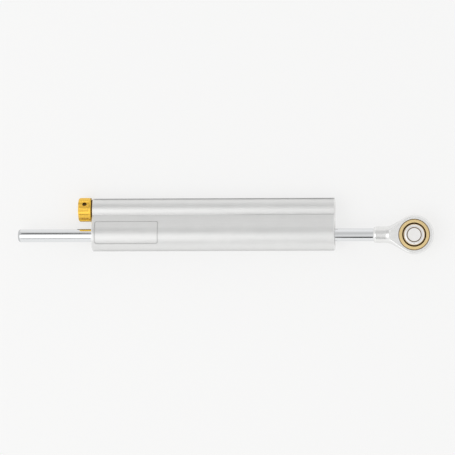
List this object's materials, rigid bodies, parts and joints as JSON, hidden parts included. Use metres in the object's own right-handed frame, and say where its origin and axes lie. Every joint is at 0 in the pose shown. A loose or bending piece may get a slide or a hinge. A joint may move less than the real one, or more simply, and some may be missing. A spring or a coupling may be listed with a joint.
{
  "type": "motorcycle steering damper",
  "caption": "Through-rod hydraulic steering damper with a spherical-bearing rod eye and a click-adjusted needle valve beside the main bore.",
  "frame": {"origin": "centre of the rod eye's ball, on the piston rod's axis", "axes": "+X along the rod from the free end to the rod eye, +Z along the eye's bore, away from the surface the damper lies on"},
  "size_m": [0.2551, 0.0351, 0.0194],
  "materials": {
    "anodised_silver": "satin clear anodised",
    "turned_aluminium": "turned",
    "hard_chrome": "ground and hard chromed",
    "eye_steel": "satin plated",
    "race_bronze": "turned bronze",
    "ball_steel": "polished",
    "anodised_gold": "gold anodised",
    "anodised_black": "black anodised",
    "black_steel": "blackened",
    "stainless_steel": "ground",
    "bush_bronze": "sintered bronze",
    "piston_band_plastic": "filled low-friction plastic",
    "seal_rubber": "matt"
  },
  "bodies": {
    "damper": {"damper_body": "anodised_silver", "left_gland": "turned_aluminium", "right_gland": "turned_aluminium", "left_gland_ring": "seal_rubber", "right_gland_ring": "seal_rubber", "left_wiper": "seal_rubber", "right_wiper": "seal_rubber", "left_rod_seal": "seal_rubber", "right_rod_seal": "seal_rubber", "left_guide_bush": "bush_bronze", "right_guide_bush": "bush_bronze", "left_snap_ring": "black_steel", "right_snap_ring": "black_steel", "adjuster_gland": "anodised_black", "adjuster_gland_ring": "seal_rubber", "spindle_ring": "seal_rubber", "detent_ball": "ball_steel", "detent_spring": "stainless_steel", "valve_seat": "stainless_steel", "reservoir_plug": "turned_aluminium", "plug_ring": "seal_rubber", "compensator_spring": "stainless_steel"},
    "piston_carrier": {"piston_band": "piston_band_plastic"},
    "rod": {"piston_rod": "hard_chrome", "piston": "turned_aluminium", "piston_seal": "seal_rubber", "piston_clips": "black_steel", "rod_eye": "eye_steel", "eye_race": "race_bronze"},
    "ball": {"eye_ball": "ball_steel"},
    "knob": {"adjuster_knob": "anodised_gold", "knob_set_screw": "black_steel", "adjuster_spindle": "stainless_steel"},
    "needle": {"needle": "stainless_steel"},
    "compensator": {"compensator_piston": "turned_aluminium", "compensator_ring": "seal_rubber"}
  },
  "joints": [
    {"name": "rod_slide", "type": "slide", "parent": "damper", "child": "piston_carrier", "axis": [1, 0, 0], "range_m": [-0.0229, 0.0451]},
    {"name": "rod_turn", "type": "hinge", "parent": "piston_carrier", "child": "rod", "pos_m": [0, 0, 0], "axis": [1, 0, 0], "continuous": true},
    {"name": "ball_swivel", "type": "hinge", "parent": "rod", "child": "ball", "pos_m": [0, 0, 0], "axis": [0, 0, 1], "continuous": true},
    {"name": "knob_turn", "type": "hinge", "parent": "damper", "child": "knob", "pos_m": [-0.20195, 0.01579, -0.00245], "axis": [1, 0, 0], "range_deg": [-360, 360]},
    {"name": "needle_slide", "type": "slide", "parent": "damper", "child": "needle", "axis": [1, 0, 0], "range_m": [-0.0005, 0.0005]},
    {"name": "compensator_slide", "type": "slide", "parent": "damper", "child": "compensator", "axis": [1, 0, 0], "range_m": [-0.003, 0.006], "stiffness_N_per_m": 1500, "deforming": ["compensator_spring"]}
  ],
  "couplings": [
    {"joint": "knob_turn", "follows": "needle_slide", "rad_per_m": 12566}
  ]
}
